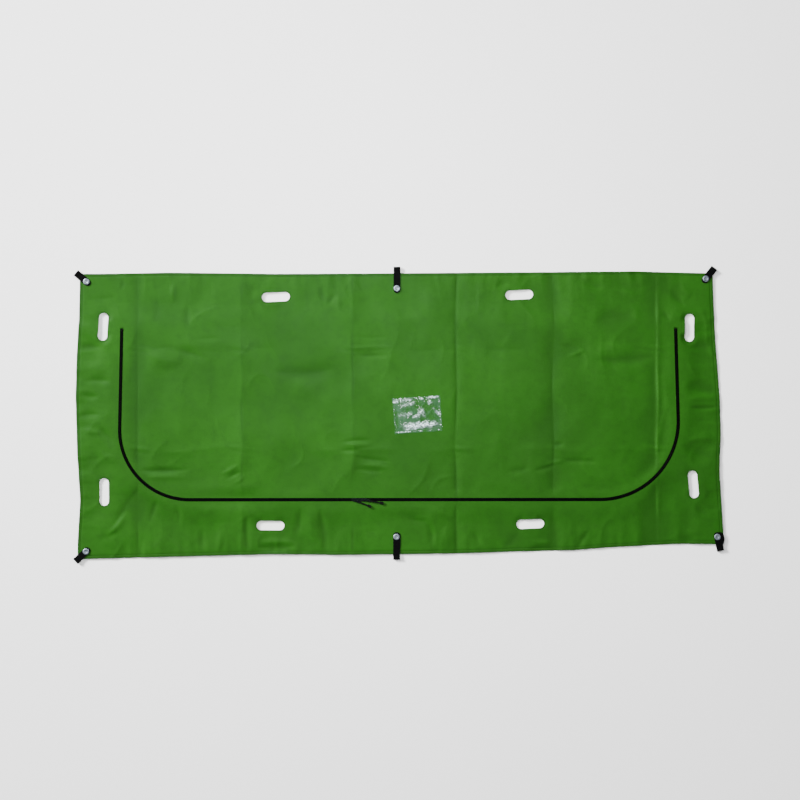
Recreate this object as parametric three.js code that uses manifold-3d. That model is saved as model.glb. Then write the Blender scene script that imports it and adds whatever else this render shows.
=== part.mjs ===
// A human-remains recovery bag with die-cut carrying handles, lying flat and zipped shut.
// Two welded PVC sheets make the pouch. The top sheet has a U-shaped zip with two sliders, and what is
// inside the U is a flap that folds back about the line between the zip's ends. Eight hand slots go
// through both sheets, six webbing loops are riveted over the edge, and the flap carries a card pocket.
// Millimetres. +X along the bag, +Y towards the flap's fold, +Z up, origin on the floor at the middle.

import * as THREE from "three";
import { ConvexGeometry } from "three/addons/geometries/ConvexGeometry.js";
import { mergeVertices } from "three/addons/utils/BufferGeometryUtils.js";
import Module from "manifold-3d";

// ---------------------------------------------------------------- driving dimensions

const SHEET = 0.8; // thickness of each PVC sheet
const GAP = 0.4; // clearance between pieces that lie on each other
const TIGHT = 0.3; // clearance between pieces that are fixed to each other

// The bag's corners as it lies: the soft sheet is slightly askew.
const CORNERS = {
  topLeft: [-1143, 507],
  topRight: [1128, 508],
  footRight: [1166, -465],
  footLeft: [-1152, -517],
};

// The margin of both sheets is pressed together; the pouch bulges down to the floor and up to the zip.
const MARGIN_Z = 3.6; // underside of the bottom sheet in the margin
const PLATEAU_Z = 8.6; // underside of the top sheet over the pouch
const POUCH = { top: 392, foot: -366, halfTop: 1021, halfFoot: 1036 };
const POUCH_SLOPE = { top: 32, foot: 28, side: 8 }; // how far inwards the bulge takes to rise

// The zip's centreline runs down the left side, along the foot and up the right side.
const ZIP = { left: [-992.5, 309], footLeft: [-1006, -304], footRight: [1012, -304], right: [994.5, 309] };
const ZIP_RADIUS = { left: 250, right: 280 };
const ZIP_ARC_STEPS = 20;
const ZIP_VISIBLE = 6; // half the width between the sheets' edges
const TAPE_HALF = 14;
const TAPE_THICK = 0.7;
const ROW_IN = 0.9; // half the gap between the two coil rows
const ROW_OUT = 3.9;
const COIL_THICK = 2.2;
const COIL_SHORT = 7; // how far below the zip's end the coil stops
const END_STOP = { length: 5, side: 0.5 };

// The flap turns about a line just above the sheet, so that it can lie back on the bag.
const FOLD_Y = ZIP.left[1];
const FOLD_HALF = 4;

const SLOT = { length: 100, width: 34 };
const SLOTS = [
  { x: -440, y: 424, turn: 2.4 },
  { x: 434, y: 431, turn: 2.7 },
  { x: -460, y: -397, turn: -0.8 },
  { x: 473, y: -392, turn: 2.5 },
  { x: -1060, y: 317, turn: 86.4 },
  { x: -1057, y: -276, turn: 90 },
  { x: 1045, y: 312, turn: 89.2 },
  { x: 1058, y: -250, turn: 95.4 },
];

const WEBBING = { width: 25, thick: 1.2, tail: 17, squeeze: 1.4, eye: 2.8, flare: 14 };
const LOOPS = [
  { name: "top_left", x: -1120, y: 479, turn: 140, reach: 50 },
  { name: "top_middle", x: -5, y: 454, turn: 90, reach: 78 },
  { name: "top_right", x: 1104, y: 488, turn: 51.5, reach: 50 },
  { name: "foot_left", x: -1122, y: -490, turn: -137, reach: 52.5 },
  { name: "foot_middle", x: -7, y: -438, turn: -90, reach: 82 },
  { name: "foot_right", x: 1145, y: -439, turn: -77, reach: 52 },
];

const RIVET = { shank: 3, cap: 11.5, back: 10, capThick: 1.9, backThick: 1.1, dish: 4.5, sides: 20 };
const RIVET_HOLE_SIDES = 12;
// The cap's section: heights above its underside, and distances in from its rim or out from its dish.
const CAP = {
  rim: 0.5, shoulder: 1.3, shoulderIn: 1.2, crownIn: 3.4, dishLip: 1.2, dishEdge: 1.1, dishFloor: 0.9,
};
const BACK_EDGE = { inwards: 0.6, up: 0.5 };
const SHANK_SHORT = 0.2; // how far inside the back ring the shank ends

const SLIDER = { length: 27, nose: 5.5, tail: 5.0, plate: 1.0, wall: 0.8, meet: 1, rounding: 2, under: 0.6 };
const SLIDER_POST = { length: 6, half: 0.5, fromNose: 4.5 };
const SLIDERS_X = -141; // where the two sliders meet, nose to nose
const BRIDGE = { half: 3.4, post: 1.2, width: 2.4, high: 3.0, bar: 1.2, bend: 0.8, fromTail: 7, pivot: 1.1 };
const PULL = { tab: 24, tabHalf: 4.5, thick: 1.2, eyeHalf: 3.1, eyeLength: 5.5, bar: 0.5, length: 68 };
const PULL_WAIST = { from: 1.5, to: 5, inwards: 1.2 }; // where the tab narrows behind its eye
const GRIP = { neckHalf: 2, endHalf: 4.8, endLength: 14, thick: 3 };
const GRIP_FORM = { sleeve: 6, sleeveOut: 1, swell: 2, shoulder: 5, rounding: 3 };

const POCKET = { x: 68, y: 1, turn: 4, width: 172, height: 128, border: 11, film: 0.6, rise: 4.5, slope: 7 };
const POCKET_MOUTH = 5; // the hollow runs this far out through the open edge

// ---------------------------------------------------------------- heights worked out from those

const bottomMargin = [MARGIN_Z, MARGIN_Z + SHEET];
const topMargin = [bottomMargin[1] + GAP, bottomMargin[1] + GAP + SHEET];
const middleZ = (bottomMargin[1] + topMargin[0]) / 2;
const plateau = [PLATEAU_Z, PLATEAU_Z + SHEET];
const tapeZ = [PLATEAU_Z - GAP - TAPE_THICK, PLATEAU_Z - GAP];
const coilZ = [tapeZ[1] + TIGHT, tapeZ[1] + TIGHT + COIL_THICK];
const topPlateZ = [coilZ[1] + GAP, coilZ[1] + GAP + SLIDER.plate];
const bottomPlateZ = [tapeZ[0] - SLIDER.under - SLIDER.plate, tapeZ[0] - SLIDER.under];
const pivotZ = topPlateZ[1] + BRIDGE.pivot;
const bagZ = [-1, 20]; // a cutter between these goes through everything

// ---------------------------------------------------------------- materials

const finish = (color, roughness, metalness = 0, opacity = 1) =>
  new THREE.MeshStandardMaterial({ color, roughness, metalness, opacity, transparent: opacity < 1 });
const GREEN_PVC = finish(0x3f7d20, 0.55);
const BLACK_NYLON = finish(0x0c0c0d, 0.7);
const BLACK_METAL = finish(0x2a2c2e, 0.4, 0.8);
const GREY_METAL = finish(0xb9c0c6, 0.35, 0.9);
const BLACK_RUBBER = finish(0x101011, 0.6);
const CLEAR_FILM = finish(0xdfe9ee, 0.15, 0, 0.35);

// ---------------------------------------------------------------- solids

const wasm = await Module();
wasm.setup();

// A closed geometry as a solid that can be joined and cut.
function solidOf(geometry) {
  const plain = geometry.clone();
  plain.deleteAttribute("normal");
  plain.deleteAttribute("uv");
  const merged = mergeVertices(plain, 1e-4);
  return new wasm.Manifold(
    new wasm.Mesh({
      numProp: 3,
      vertProperties: merged.attributes.position.array,
      triVerts: new Uint32Array(merged.index.array),
    }),
  );
}

function geometryOf(solid) {
  const mesh = solid.getMesh();
  return new THREE.BufferGeometry()
    .setAttribute("position", new THREE.BufferAttribute(new Float32Array(mesh.vertProperties), 3))
    .setIndex(new THREE.BufferAttribute(mesh.triVerts, 1));
}

// An outline in the XY plane, filled from one height to another.
function slab(outline, [low, high], curveSegments = 8) {
  const shape = outline instanceof THREE.Shape ? outline : new THREE.Shape(outline);
  const made = new THREE.ExtrudeGeometry(shape, { depth: high - low, bevelEnabled: false, curveSegments });
  return solidOf(made.translate(0, 0, low));
}

const box = (width, depth, [low, high], x = 0, y = 0) =>
  solidOf(new THREE.BoxGeometry(width, depth, high - low).translate(x, y, (low + high) / 2));

const at = (points, z) => points.map((p) => new THREE.Vector3(p.x, p.y, z));
const points = (pairs) => pairs.map(([x, y]) => new THREE.Vector2(x, y));

// A slot's outline with round ends, turned and placed.
function slotOutline({ x, y, turn }) {
  const end = SLOT.width / 2;
  const reach = SLOT.length / 2 - end;
  const shape = new THREE.Shape();
  shape.absarc(reach, 0, end, -Math.PI / 2, Math.PI / 2);
  shape.absarc(-reach, 0, end, Math.PI / 2, (3 * Math.PI) / 2);
  const angle = THREE.MathUtils.degToRad(turn);
  const middle = new THREE.Vector2();
  return shape.getPoints(8).map((p) => p.rotateAround(middle, angle).add(new THREE.Vector2(x, y)));
}

function disc(radius, x, y, heights, sides = RIVET.sides) {
  const shape = new THREE.Shape().absarc(x, y, radius, 0, 2 * Math.PI);
  return slab(shape, heights, sides);
}

// A solid of revolution about +Z from (radius, height) pairs.
const turned = (pairs, sides) =>
  solidOf(new THREE.LatheGeometry(points(pairs), sides).rotateX(Math.PI / 2));

// ---------------------------------------------------------------- the zip's line

// The zip's line moved outwards by offset, from the left end to the right end, each end at height endY.
function zipLine(offset, endY = FOLD_Y) {
  const [a, b, c, d] = points([ZIP.left, ZIP.footLeft, ZIP.footRight, ZIP.right]);
  const runs = [[a, b], [b, c], [c, d]].map(([from, to]) => {
    const along = to.clone().sub(from).normalize();
    return { from, along, out: new THREE.Vector2(along.y, -along.x) };
  });
  const endOf = ({ from, along, out }) => {
    const start = from.clone().addScaledVector(out, offset);
    return start.addScaledVector(along, (endY - start.y) / along.y);
  };
  const corner = (before, after, radius) => {
    const turn = before.along.angleTo(after.along);
    const centre = after.from
      .clone()
      .addScaledVector(before.along, -radius * Math.tan(turn / 2))
      .addScaledVector(before.out, -radius);
    const start = before.out.angle();
    return Array.from({ length: ZIP_ARC_STEPS + 1 }, (_, i) => {
      const angle = start + (turn * i) / ZIP_ARC_STEPS;
      return new THREE.Vector2(Math.cos(angle), Math.sin(angle)).multiplyScalar(radius + offset).add(centre);
    });
  };
  return [
    endOf(runs[0]),
    ...corner(runs[0], runs[1], ZIP_RADIUS.left),
    ...corner(runs[1], runs[2], ZIP_RADIUS.right),
    endOf(runs[2]),
  ];
}

// A strip that follows the zip between two offsets.
const zipStrip = (inner, outer, heights, endY) =>
  slab([...zipLine(outer, endY), ...zipLine(inner, endY).reverse()], heights);

// ---------------------------------------------------------------- sheets

const bagOutline = points([CORNERS.topLeft, CORNERS.footLeft, CORNERS.footRight, CORNERS.topRight]);

// The pouch's outline, drawn in by a share of its slope: 0 at the margin, 1 on the flat.
function pouchOutline(share) {
  const side = POUCH_SLOPE.side * share;
  const top = POUCH.top - POUCH_SLOPE.top * share;
  const foot = POUCH.foot + POUCH_SLOPE.foot * share;
  const wide = POUCH.halfTop - side;
  const wideFoot = POUCH.halfFoot - side;
  return points([[-wide, top], [-wideFoot, foot], [wideFoot, foot], [wide, top]]);
}

const bulge = (marginZ, flatZ) =>
  solidOf(new ConvexGeometry([...at(pouchOutline(0), marginZ), ...at(pouchOutline(1), flatZ)]));

// What both sheets lack: the hand slots and the rivets' holes.
function pierce(sheet) {
  const slots = SLOTS.map((slot) => slab(slotOutline(slot), bagZ));
  const holes = LOOPS.map(({ x, y }) => disc(RIVET.shank + GAP, x, y, bagZ, RIVET_HOLE_SIDES));
  return [...slots, ...holes].reduce((left, cutter) => left.subtract(cutter), sheet);
}

function bottomSheet() {
  const sheet = slab(bagOutline, bottomMargin)
    .add(bulge(bottomMargin[0], 0))
    .subtract(bulge(bottomMargin[1], SHEET));
  return pierce(sheet);
}

function topSurround() {
  const sheet = slab(bagOutline, topMargin)
    .add(bulge(topMargin[1], plateau[1]))
    .subtract(bulge(topMargin[0], plateau[0]));
  const mouth = slab(zipLine(ZIP_VISIBLE, FOLD_Y + FOLD_HALF), bagZ);
  return pierce(sheet).subtract(mouth);
}

const flapSheet = () => slab(zipLine(-ZIP_VISIBLE, FOLD_Y - FOLD_HALF), plateau);

// The stretch of sheet that bends when the flap folds back.
function foldStrip() {
  const [left] = zipLine(-ZIP_VISIBLE);
  const right = zipLine(-ZIP_VISIBLE).at(-1);
  const depth = 2 * (FOLD_HALF - GAP);
  return box(right.x - left.x, depth, plateau, (left.x + right.x) / 2, FOLD_Y);
}

// ---------------------------------------------------------------- zip

const coilEndY = FOLD_Y - COIL_SHORT;
const outerTape = () => zipStrip(ROW_IN, TAPE_HALF, tapeZ);
const innerTape = () => zipStrip(-TAPE_HALF, -ROW_IN, tapeZ, FOLD_Y - FOLD_HALF);
const outerCoil = () => zipStrip(ROW_IN, ROW_OUT, coilZ, coilEndY);
const innerCoil = () => zipStrip(-ROW_OUT, -ROW_IN, coilZ, coilEndY);

// The moulded stop across both rows at one end of the zip.
const endStop = ([x, y]) =>
  box(2 * (ROW_OUT + END_STOP.side), END_STOP.length, coilZ, x, y - END_STOP.length / 2);

// One slider lying along X with its nose at the origin, its tail towards -X.
function sliderBody() {
  const { length, nose, tail, wall, rounding } = SLIDER;
  const plan = new THREE.Shape()
    .moveTo(-length + rounding, -tail)
    .lineTo(-rounding, -nose)
    .quadraticCurveTo(0, -nose, 0, -nose + rounding)
    .lineTo(0, nose - rounding)
    .quadraticCurveTo(0, nose, -rounding, nose)
    .lineTo(-length + rounding, tail)
    .quadraticCurveTo(-length, tail, -length, tail - rounding)
    .lineTo(-length, -tail + rounding)
    .quadraticCurveTo(-length, -tail, -length + rounding, -tail);
  const blank = slab(plan, [tapeZ[1] + GAP, topPlateZ[1]], 4);
  const channel = box(2 * length, 2 * (tail - wall), [0, topPlateZ[0]], -length / 2);
  const { length: postLength, half, fromNose } = SLIDER_POST;
  const post = box(postLength, 2 * half, [bottomPlateZ[0], topPlateZ[1]], -fromNose);
  return blank.subtract(channel).add(slab(plan, bottomPlateZ, 4)).add(post);
}

// The bridge over the slider's top plate that holds the pull, about its own middle.
function sliderBridge() {
  const { half, post, width, high, bar, bend } = BRIDGE;
  const side = new THREE.Shape()
    .moveTo(-half, 0)
    .lineTo(-half, high - bend)
    .quadraticCurveTo(-half, high, -half + bend, high)
    .lineTo(half - bend, high)
    .quadraticCurveTo(half, high, half, high - bend)
    .lineTo(half, 0)
    .lineTo(half - post, 0)
    .lineTo(half - post, high - bar)
    .lineTo(-half + post, high - bar)
    .lineTo(-half + post, 0);
  const made = new THREE.ExtrudeGeometry(side, { depth: width, bevelEnabled: false, curveSegments: 4 });
  return solidOf(made.translate(0, 0, -width / 2).rotateX(Math.PI / 2));
}

// The stamped tab: its pivot bar at the origin, its length along +X.
function pullTab() {
  const { tab, tabHalf, thick, eyeHalf, eyeLength, bar } = PULL;
  const narrow = tabHalf - PULL_WAIST.inwards;
  const plan = new THREE.Shape()
    .moveTo(-bar, -tabHalf)
    .lineTo(eyeLength + PULL_WAIST.from, -tabHalf)
    .lineTo(eyeLength + PULL_WAIST.to, -narrow)
    .lineTo(tab, -narrow)
    .lineTo(tab, narrow)
    .lineTo(eyeLength + PULL_WAIST.to, narrow)
    .lineTo(eyeLength + PULL_WAIST.from, tabHalf)
    .lineTo(-bar, tabHalf);
  const eye = box(eyeLength - bar, 2 * eyeHalf, [-thick, thick], (eyeLength + bar) / 2);
  return slab(plan, [-thick / 2, thick / 2]).subtract(eye);
}

// The moulded grip on the tab's end: a thin neck that widens into a finger pad.
function pullGrip() {
  const { neckHalf, endHalf, endLength, thick } = GRIP;
  const { sleeve, sleeveOut, swell, shoulder, rounding } = GRIP_FORM;
  const start = PULL.tab + TIGHT;
  const padStart = PULL.length - endLength;
  const plan = new THREE.Shape()
    .moveTo(start, -neckHalf - sleeveOut)
    .lineTo(start + sleeve, -neckHalf)
    .lineTo(padStart, -neckHalf)
    .quadraticCurveTo(padStart + swell, -endHalf, padStart + shoulder, -endHalf)
    .lineTo(PULL.length - rounding, -endHalf)
    .quadraticCurveTo(PULL.length, -endHalf, PULL.length, 0)
    .quadraticCurveTo(PULL.length, endHalf, PULL.length - rounding, endHalf)
    .lineTo(padStart + shoulder, endHalf)
    .quadraticCurveTo(padStart + swell, endHalf, padStart, neckHalf)
    .lineTo(start + sleeve, neckHalf)
    .lineTo(start, neckHalf + sleeveOut);
  return slab(plan, [-thick / 2, thick / 2], 4);
}

// ---------------------------------------------------------------- loops and rivets

// A webbing loop with its rivet hole at the origin, its fold at +X, about the bag's middle plane.
function webbingLoop(reach) {
  const { width, thick, tail, squeeze, eye, flare } = WEBBING;
  // The webbing's face at a given depth inside its outer face, round the fold.
  const face = (depth) => {
    const eyeRadius = eye + thick - depth;
    const pinch = squeeze + thick - depth;
    const foldX = reach - eye - thick;
    const fold = new THREE.Path().absarc(foldX, 0, eyeRadius, Math.PI / 2, -Math.PI / 2, true);
    return [
      new THREE.Vector2(-tail, pinch),
      new THREE.Vector2(foldX - flare, pinch),
      ...fold.getPoints(10),
      new THREE.Vector2(foldX - flare, -pinch),
      new THREE.Vector2(-tail, -pinch),
    ];
  };
  const side = new THREE.Shape([...face(0), ...face(thick).reverse()]);
  const made = new THREE.ExtrudeGeometry(side, { depth: width, bevelEnabled: false });
  const band = solidOf(made.translate(0, 0, -width / 2).rotateX(Math.PI / 2));
  return band.subtract(disc(RIVET.shank + GAP, 0, 0, [-width, width], RIVET_HOLE_SIDES));
}

const loopFaces = [middleZ - WEBBING.squeeze - WEBBING.thick, middleZ + WEBBING.squeeze + WEBBING.thick];
const capZ = loopFaces[1] + GAP;
const backZ = loopFaces[0] - GAP - RIVET.backThick;

// The dished cap with its shank, which goes down through webbing and sheets into the back ring.
function rivetCap() {
  const { shank, cap, capThick, dish, sides } = RIVET;
  const shankEnd = backZ + SHANK_SHORT;
  const profile = [
    [0, shankEnd], [shank, shankEnd], [shank, capZ], [cap, capZ], [cap, capZ + CAP.rim],
    [cap - CAP.shoulderIn, capZ + CAP.shoulder], [cap - CAP.crownIn, capZ + capThick],
    [dish + CAP.dishLip, capZ + capThick], [dish, capZ + CAP.dishEdge], [0, capZ + CAP.dishFloor],
  ];
  return turned(profile, sides);
}

function rivetBack() {
  const { shank, back, backThick, sides } = RIVET;
  const hole = shank + GAP;
  const profile = [
    [hole, backZ], [back - BACK_EDGE.inwards, backZ], [back, backZ + BACK_EDGE.up], [back, backZ + backThick],
    [hole, backZ + backThick], [hole, backZ],
  ];
  return turned(profile, sides);
}

// ---------------------------------------------------------------- card pocket

// The clear film: welded flat on three sides, puffed up over the card, open along its top edge.
function pocketFilm() {
  const { width, height, border, film, rise, slope } = POCKET;
  const low = plateau[1] + GAP;
  const halfX = width / 2 - border;
  const foot = -height / 2 + border;
  const top = height / 2;
  // A block with sloping sides; its top side stands upright, on the pocket's open edge.
  const puff = (shrink, base, crest, reach) =>
    solidOf(
      new ConvexGeometry([
        ...at(points([[-halfX, reach], [-halfX, foot], [halfX, foot], [halfX, reach]]), base),
        ...at(
          points([
            [-halfX + shrink, reach], [-halfX + shrink, foot + shrink],
            [halfX - shrink, foot + shrink], [halfX - shrink, reach],
          ]),
          crest,
        ),
      ]),
    );
  const flat = box(width, height, [low, low + film]);
  const outer = puff(slope, low + film, low + film + rise, top);
  const inner = puff(slope, low, low + rise, top + POCKET_MOUTH);
  return flat.add(outer).subtract(inner);
}

// ---------------------------------------------------------------- assembly

const bag = new THREE.Group();
const addTo = (parent, name, solid, material) => {
  const mesh = new THREE.Mesh(geometryOf(solid), material);
  mesh.name = name;
  parent.add(mesh);
  return mesh;
};

addTo(bag, "bottom_sheet", bottomSheet(), GREEN_PVC);
addTo(bag, "top_surround", topSurround(), GREEN_PVC);
addTo(bag, "flap_sheet", flapSheet(), GREEN_PVC);
addTo(bag, "flap_fold_strip", foldStrip(), GREEN_PVC);
addTo(bag, "outer_zip_tape", outerTape(), BLACK_NYLON);
addTo(bag, "inner_zip_tape", innerTape(), BLACK_NYLON);
addTo(bag, "outer_zip_coil", outerCoil(), BLACK_NYLON);
addTo(bag, "inner_zip_coil", innerCoil(), BLACK_NYLON);
addTo(bag, "left_end_stop", endStop(ZIP.left), BLACK_NYLON);
addTo(bag, "right_end_stop", endStop(ZIP.right), BLACK_NYLON);

const pocket = addTo(bag, "card_pocket_film", pocketFilm(), CLEAR_FILM);
pocket.position.set(POCKET.x, POCKET.y, 0);
pocket.rotation.z = THREE.MathUtils.degToRad(POCKET.turn);

// The two sliders stand nose to nose; each pull lies towards +X, a little towards the bag's foot.
for (const { side, mirror, pullTurn } of [
  { side: "left", mirror: 1, pullTurn: -22 },
  { side: "right", mirror: -1, pullTurn: -11 },
]) {
  const slider = new THREE.Group();
  slider.position.set(SLIDERS_X - (mirror * SLIDER.meet) / 2, ZIP.footLeft[1], 0);
  bag.add(slider);
  const body = addTo(slider, `${side}_slider_body`, sliderBody(), BLACK_METAL);
  body.rotation.z = mirror > 0 ? 0 : Math.PI;
  const pivotX = -mirror * (SLIDER.length - BRIDGE.fromTail);
  const bridge = addTo(slider, `${side}_slider_bridge`, sliderBridge(), BLACK_METAL);
  bridge.position.set(pivotX, 0, topPlateZ[1] + TIGHT);
  const pull = new THREE.Group();
  pull.position.set(pivotX, 0, pivotZ);
  pull.rotation.z = THREE.MathUtils.degToRad(pullTurn);
  slider.add(pull);
  addTo(pull, `${side}_pull_tab`, pullTab(), BLACK_METAL);
  addTo(pull, `${side}_pull_grip`, pullGrip(), BLACK_RUBBER);
}

for (const { name, x, y, turn, reach } of LOOPS) {
  const loop = addTo(bag, `${name}_loop`, webbingLoop(reach), BLACK_NYLON);
  loop.position.set(x, y, middleZ);
  loop.rotation.z = THREE.MathUtils.degToRad(turn);
  addTo(bag, `${name}_rivet_cap`, rivetCap(), GREY_METAL).position.set(x, y, 0);
  addTo(bag, `${name}_rivet_back`, rivetBack(), GREY_METAL).position.set(x, y, 0);
}

export default bag;
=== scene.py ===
import math

import bmesh
import bpy
import numpy as np
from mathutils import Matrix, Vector
from mathutils.geometry import delaunay_2d_cdt
from mathutils.kdtree import KDTree


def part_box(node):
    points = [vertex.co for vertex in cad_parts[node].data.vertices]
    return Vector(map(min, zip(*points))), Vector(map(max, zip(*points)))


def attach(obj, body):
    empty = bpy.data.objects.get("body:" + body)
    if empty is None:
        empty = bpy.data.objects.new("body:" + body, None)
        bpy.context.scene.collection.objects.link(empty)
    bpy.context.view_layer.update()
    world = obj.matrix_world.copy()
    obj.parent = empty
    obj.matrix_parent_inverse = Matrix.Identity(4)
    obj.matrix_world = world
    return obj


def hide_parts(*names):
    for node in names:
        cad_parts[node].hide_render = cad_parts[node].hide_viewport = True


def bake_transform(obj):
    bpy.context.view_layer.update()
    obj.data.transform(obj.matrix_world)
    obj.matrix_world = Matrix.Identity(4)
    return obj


# The looks of a zipped body bag that lies flat. Metres, in the frame's own axes: +X along the bag,
# +Y across it towards the flap's fold, +Z up off the floor.

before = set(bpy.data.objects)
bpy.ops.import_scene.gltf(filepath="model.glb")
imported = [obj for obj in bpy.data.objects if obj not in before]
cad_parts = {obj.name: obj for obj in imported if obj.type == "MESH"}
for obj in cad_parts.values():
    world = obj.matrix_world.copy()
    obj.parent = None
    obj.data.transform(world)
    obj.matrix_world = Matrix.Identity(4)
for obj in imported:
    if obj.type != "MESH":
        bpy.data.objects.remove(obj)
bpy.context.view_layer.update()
MM = 0.001

# ---------------------------------------------------------------- the bag's layout, as in the frame

CORNERS = np.array([(-1.143, 0.507), (-1.152, -0.517), (1.166, -0.465), (1.128, 0.508)])
# How far each side of the soft sheets bows out, in millimetres, at shares of the way along it.
BOWS = {
    "left": [(0.16, 2), (0.27, 9), (0.44, 12), (0.64, 4), (0.79, -7), (0.95, 1)],
    "foot": [(0.17, -1), (0.30, -2), (0.40, 6), (0.58, 11), (0.68, 9), (0.77, 9), (0.82, 2), (0.93, -5)],
    "right": [(0.05, 2), (0.11, 0), (0.27, -4), (0.41, 7), (0.55, 8), (0.66, 4), (0.77, 0), (0.94, -1)],
    "top": [(0.03, 1), (0.12, 7), (0.34, 3), (0.57, 0), (0.69, -1), (0.86, 4), (0.97, 0)],
}
ZIP_ENDS = [(-0.9925, 0.309), (-1.006, -0.304), (1.012, -0.304), (0.9945, 0.309)]
ZIP_RADII = [0.250, 0.280]
SLOT_LENGTH, SLOT_WIDTH = 0.100, 0.034
SLOTS = [
    (-0.440, 0.424, 2.4), (0.434, 0.431, 2.7), (-0.460, -0.397, -0.8), (0.473, -0.392, 2.5),
    (-1.060, 0.317, 86.4), (-1.057, -0.276, 90.0), (1.045, 0.312, 89.2), (1.058, -0.250, 95.4),
]
# Each webbing loop's direction from its rivet in degrees, its reach, and how far it is splayed on one side.
LOOPS = {
    "top_left": (140.0, 0.050, 0),
    "top_middle": (90.0, 0.078, 0),
    "top_right": (51.5, 0.050, 0),
    "foot_left": (-137.0, 0.0525, 0),
    "foot_middle": (-90.0, 0.082, 0.002),
    "foot_right": (-77.0, 0.052, 0.011),
}
CORNER_REACH = 0.050  # how far a loop at a corner reaches
CORNER_FLAT = 0.042  # how far round such a loop's rivet the sheets lie flat
FOLD_Y = ZIP_ENDS[0][1]
BEND_HALF = 0.004  # half the width of the strip that bends when the flap folds back

# Lines that the bag was folded along for storage: where, how high, and how far the flanks reach.
FOLDS_ACROSS = [
    (-0.937, -4.2, 0.026), (-0.562, 4.8, 0.030), (-0.164, 3.6, 0.026), (0.207, -2.8, 0.012),
    (0.555, -4.6, 0.032), (0.922, -5.6, 0.034), (0.932, 3.4, 0.008),
]
FOLDS_ALONG = [(0.235, -1.8, 0.016), (-0.125, 1.8, 0.016)]
# Single wrinkles and dents, in millimetres and degrees: x, y, length, width, turn, height.
WRINKLES = [
    # along the left edge
    (-1085, 420, 150, 22, 0, -2.2), (-1105, 246, 100, 26, 4, -2.6), (-1085, 165, 90, 40, -8, 1.8),
    (-1080, 125, 120, 22, 0, -2.4), (-1110, 67, 80, 22, -6, -2.4), (-1112, 2, 90, 22, 5, -2.4),
    (-1100, -60, 80, 24, -8, 2.0), (-1040, -80, 150, 36, -45, -3.2), (-1050, -150, 110, 30, -35, 2.0),
    (-980, -330, 190, 22, 55, -2.4), (-1010, -400, 120, 20, 50, 1.8), (-1050, -440, 110, 24, 30, -2.0),
    # left third of the flap and the hem above it
    (-848, 200, 150, 60, -18, 4.5), (-758, 340, 150, 26, 90, -2.4), (-866, 375, 120, 34, 88, -2.0),
    (-750, 222, 150, 30, -14, -2.2), (-990, 470, 50, 18, 80, -2.0), (-810, 440, 80, 20, 85, 2.0),
    (-520, 445, 70, 40, 80, -2.0), (-680, 275, 110, 14, 2, -1.5), (-850, -200, 230, 18, 1, -2.6),
    (-850, -222, 210, 20, 1, 1.5), (-600, -196, 80, 14, 28, 2.4), (-590, -215, 70, 12, 25, -2.0),
    (-570, -235, 60, 12, 35, 1.6), (-275, 430, 70, 20, 100, -2.5), (-240, 415, 60, 18, 60, -2.0),
    (-215, 400, 70, 22, 95, 1.5),
    # middle of the flap
    (-336, 150, 240, 54, 3, -4.0), (-325, 92, 130, 60, -50, 1.8), (-95, 278, 160, 14, 0, -1.6),
    (-95, 242, 170, 18, 0, 2.2), (-95, 212, 160, 14, 0, -1.6), (-150, -92, 110, 14, 3, -2.2),
    (-150, -108, 110, 14, -3, 2.4), (-170, -126, 90, 12, 4, -1.8), (-100, -160, 150, 16, -8, -2.0),
    (-90, -182, 130, 16, -6, 1.6), (-110, -200, 120, 16, -6, -1.5), (60, 440, 90, 34, -20, -2.0),
    (20, 370, 100, 36, -30, -1.8), (375, 468, 60, 30, 10, -2.2), (430, -200, 90, 24, 8, -1.8),
    # right third of the flap and the hem above it
    (770, 350, 160, 50, 8, -3.5), (810, 196, 240, 36, 3, -3.5), (800, 238, 200, 40, 2, 2.2),
    (1000, 420, 90, 24, -55, -2.8), (965, 350, 70, 20, -60, -2.2), (1030, 450, 70, 18, -50, 2.0),
    (610, 245, 60, 12, -20, -1.8), (640, 220, 70, 14, 20, 1.8), (560, 215, 80, 14, -10, -1.6),
    (700, 465, 100, 26, -15, -2.0), (820, 440, 90, 24, -20, 1.8), (530, -190, 100, 16, 18, -2.2),
    (560, -172, 90, 14, 14, 1.8), (575, -105, 50, 12, 0, -2.0), (650, -165, 150, 18, -2, -2.4),
    # along the right edge
    (1088, 246, 110, 22, 3, -2.6), (1085, 103, 130, 50, 0, -3.2), (1098, 24, 120, 14, 2, -3.0),
    (1090, 60, 110, 24, 0, 2.0), (1085, -125, 130, 60, 4, -3.8), (1085, -85, 120, 30, 6, 2.4),
    (1090, -350, 70, 22, -35, -2.4), (1060, -445, 120, 18, -8, -2.6), (1075, -425, 100, 16, -10, 1.8),
    # along the foot
    (-880, -340, 110, 18, 70, -2.2), (-790, -350, 90, 20, 100, -2.0), (-705, -450, 90, 20, 95, -2.2),
    (-640, -450, 90, 24, 85, 1.8), (-545, -420, 150, 26, 92, -3.0), (-440, -478, 150, 22, 2, -3.0),
    (-440, -455, 140, 20, 0, 1.8), (-355, -380, 110, 24, 80, -2.0), (-315, -400, 130, 40, 95, 2.0),
    (-270, -410, 170, 26, 96, -3.6), (-85, -420, 70, 26, -20, -2.2), (50, -375, 110, 26, -18, -2.6),
    (118, -430, 90, 22, -80, -2.2), (170, -440, 90, 30, -85, 1.8), (280, -440, 70, 20, -55, -2.0),
    (410, -450, 80, 22, 45, -2.0), (520, -480, 120, 22, 3, -2.8), (520, -460, 110, 20, 2, 1.6),
    (660, -450, 90, 22, 60, -2.2), (900, -390, 170, 60, 86, -2.5),
]

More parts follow.
